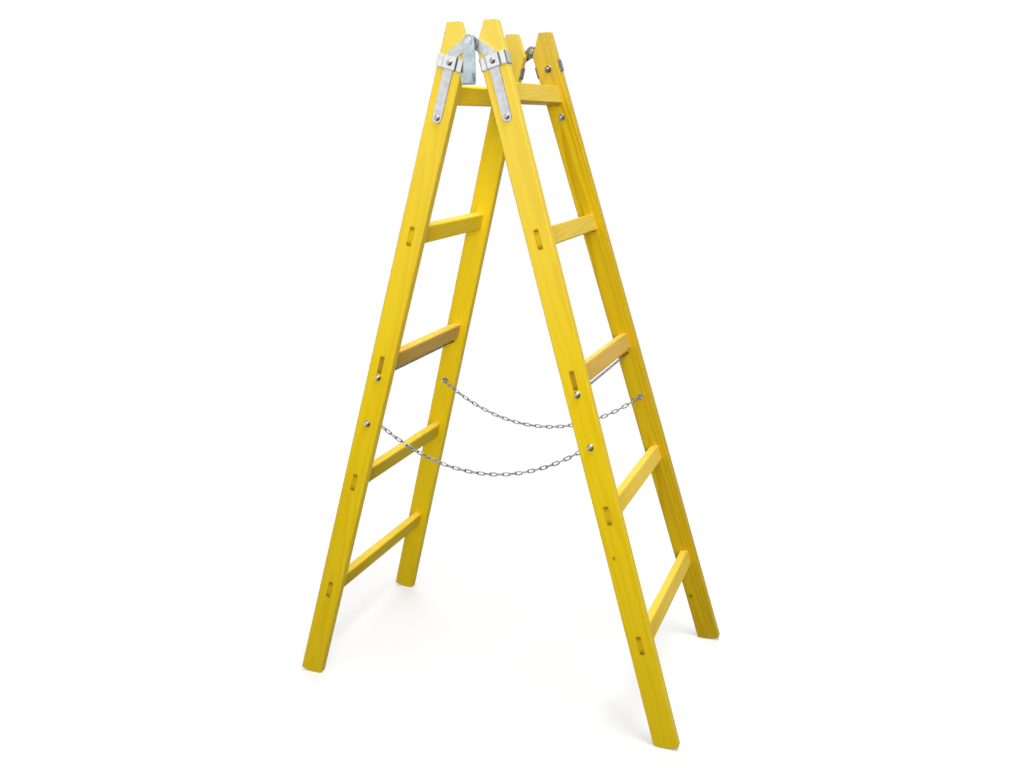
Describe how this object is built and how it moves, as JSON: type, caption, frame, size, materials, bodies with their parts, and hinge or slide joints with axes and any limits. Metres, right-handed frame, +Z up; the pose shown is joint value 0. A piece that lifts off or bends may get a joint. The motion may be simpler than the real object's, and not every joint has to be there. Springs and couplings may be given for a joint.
{
  "type": "double-sided stepladder",
  "caption": "Wooden double-sided stepladder: two runged halves on a top pivot, slack side chains and a swinging bucket hook.",
  "frame": {"origin": "floor point midway between the four feet, straight below the pivot", "axes": "+Z up; +X from the left half to the right half across the spread; +Y along the rungs, from the side with the bucket hook to the other side"},
  "size_m": [0.9146, 0.492, 1.4269],
  "materials": {
    "stile_wood": "clear yellow lacquer over pine",
    "rung_wood": "clear yellow lacquer over pine",
    "wedge_wood": "end grain and glue line, lacquered",
    "sheet_steel": "bright zinc plate",
    "fastener_steel": "bright zinc plate",
    "chain_steel": "zinc plate"
  },
  "bodies": {
    "left_half": {"stile_left_front": "stile_wood", "stile_left_rear": "stile_wood", "hinge_strap_left_front": "sheet_steel", "hinge_strap_left_rear": "sheet_steel", "strap_clamp_left_front": "sheet_steel", "strap_clamp_left_rear": "sheet_steel", "rung_left_1": "rung_wood", "rung_left_2": "rung_wood", "rung_left_3": "rung_wood", "rung_left_4": "rung_wood", "rung_left_5": "rung_wood", "tenon_wedges_left": "wedge_wood", "tie_rod_left": "fastener_steel", "tie_rod_nuts_left": "fastener_steel", "chain_eye_nuts_left": "fastener_steel", "hinge_bolts_left": "fastener_steel", "hinge_nuts_left": "fastener_steel", "chain_eyes_left": "fastener_steel", "pivot_pin_front": "fastener_steel", "pivot_pin_rear": "fastener_steel", "hook_spacer": "fastener_steel"},
    "right_half": {"stile_right_front": "stile_wood", "stile_right_rear": "stile_wood", "hinge_strap_right_front": "sheet_steel", "hinge_strap_right_rear": "sheet_steel", "strap_clamp_right_front": "sheet_steel", "strap_clamp_right_rear": "sheet_steel", "rung_right_1": "rung_wood", "rung_right_2": "rung_wood", "rung_right_3": "rung_wood", "rung_right_4": "rung_wood", "rung_right_5": "rung_wood", "tenon_wedges_right": "wedge_wood", "tie_rod_right": "fastener_steel", "tie_rod_nuts_right": "fastener_steel", "chain_eye_nuts_right": "fastener_steel", "hinge_bolts_right": "fastener_steel", "hinge_nuts_right": "fastener_steel", "chain_eyes_right": "fastener_steel"},
    "bucket_hook": {"bucket_hook": "sheet_steel"},
    "chain_left_1": {"chain_front_left_1": "chain_steel", "chain_rear_left_1": "chain_steel"},
    "chain_left_2": {"chain_front_left_2": "chain_steel", "chain_rear_left_2": "chain_steel"},
    "chain_left_3": {"chain_front_left_3": "chain_steel", "chain_rear_left_3": "chain_steel"},
    "chain_middle": {"chain_front_middle": "chain_steel", "chain_rear_middle": "chain_steel"},
    "chain_right_1": {"chain_front_right_1": "chain_steel", "chain_rear_right_1": "chain_steel"},
    "chain_right_2": {"chain_front_right_2": "chain_steel", "chain_rear_right_2": "chain_steel"},
    "chain_right_3": {"chain_front_right_3": "chain_steel", "chain_rear_right_3": "chain_steel"}
  },
  "joints": [
    {"name": "fold", "type": "hinge", "parent": "left_half", "child": "right_half", "pos_m": [0, 0, 1.39054], "axis": [0, 1, 0], "range_deg": [0, 32], "deforming": ["chain_front_left_1", "chain_rear_left_1", "chain_front_left_2", "chain_rear_left_2", "chain_front_left_3", "chain_rear_left_3", "chain_front_middle", "chain_rear_middle", "chain_front_right_1", "chain_rear_right_1", "chain_front_right_2", "chain_rear_right_2", "chain_front_right_3", "chain_rear_right_3"]},
    {"name": "hook_swing", "type": "hinge", "parent": "left_half", "child": "bucket_hook", "pos_m": [0, -0.17091, 1.39054], "axis": [0, 1, 0], "continuous": true},
    {"name": "chain_left_1_turn", "type": "hinge", "parent": "left_half", "child": "chain_left_1", "pos_m": [-0.24745, 0, 0.62593], "axis": [0, 1, 0], "range_deg": [0, 59.23]},
    {"name": "chain_left_2_turn", "type": "hinge", "parent": "chain_left_1", "child": "chain_left_2", "pos_m": [-0.17416, 0, 0.57852], "axis": [0, 1, 0], "range_deg": [0, 25.44]},
    {"name": "chain_left_3_turn", "type": "hinge", "parent": "chain_left_2", "child": "chain_left_3", "pos_m": [-0.09268, 0, 0.54638], "axis": [0, 1, 0], "range_deg": [0, 13.5]},
    {"name": "chain_middle_turn", "type": "hinge", "parent": "chain_left_3", "child": "chain_middle", "pos_m": [-0.00602, 0, 0.53399], "axis": [0, 1, 0], "range_deg": [-81.96, 0]},
    {"name": "chain_right_1_turn", "type": "hinge", "parent": "right_half", "child": "chain_right_1", "pos_m": [0.24745, 0, 0.62593], "axis": [0, 1, 0], "range_deg": [-59.23, 0]},
    {"name": "chain_right_2_turn", "type": "hinge", "parent": "chain_right_1", "child": "chain_right_2", "pos_m": [0.17416, 0, 0.57852], "axis": [0, 1, 0], "range_deg": [-25.44, 0]},
    {"name": "chain_right_3_turn", "type": "hinge", "parent": "chain_right_2", "child": "chain_right_3", "pos_m": [0.09268, 0, 0.54638], "axis": [0, 1, 0], "range_deg": [-13.5, 0]}
  ],
  "couplings": [
    {"joint": "chain_left_1_turn", "follows": "fold", "ratio": 1.8477},
    {"joint": "chain_left_2_turn", "follows": "fold", "ratio": 0.79188},
    {"joint": "chain_left_3_turn", "follows": "fold", "ratio": 0.41866},
    {"joint": "chain_middle_turn", "follows": "fold", "ratio": -2.5583},
    {"joint": "chain_right_1_turn", "follows": "fold", "ratio": -1.8477},
    {"joint": "chain_right_2_turn", "follows": "fold", "ratio": -0.79188},
    {"joint": "chain_right_3_turn", "follows": "fold", "ratio": -0.41866}
  ]
}
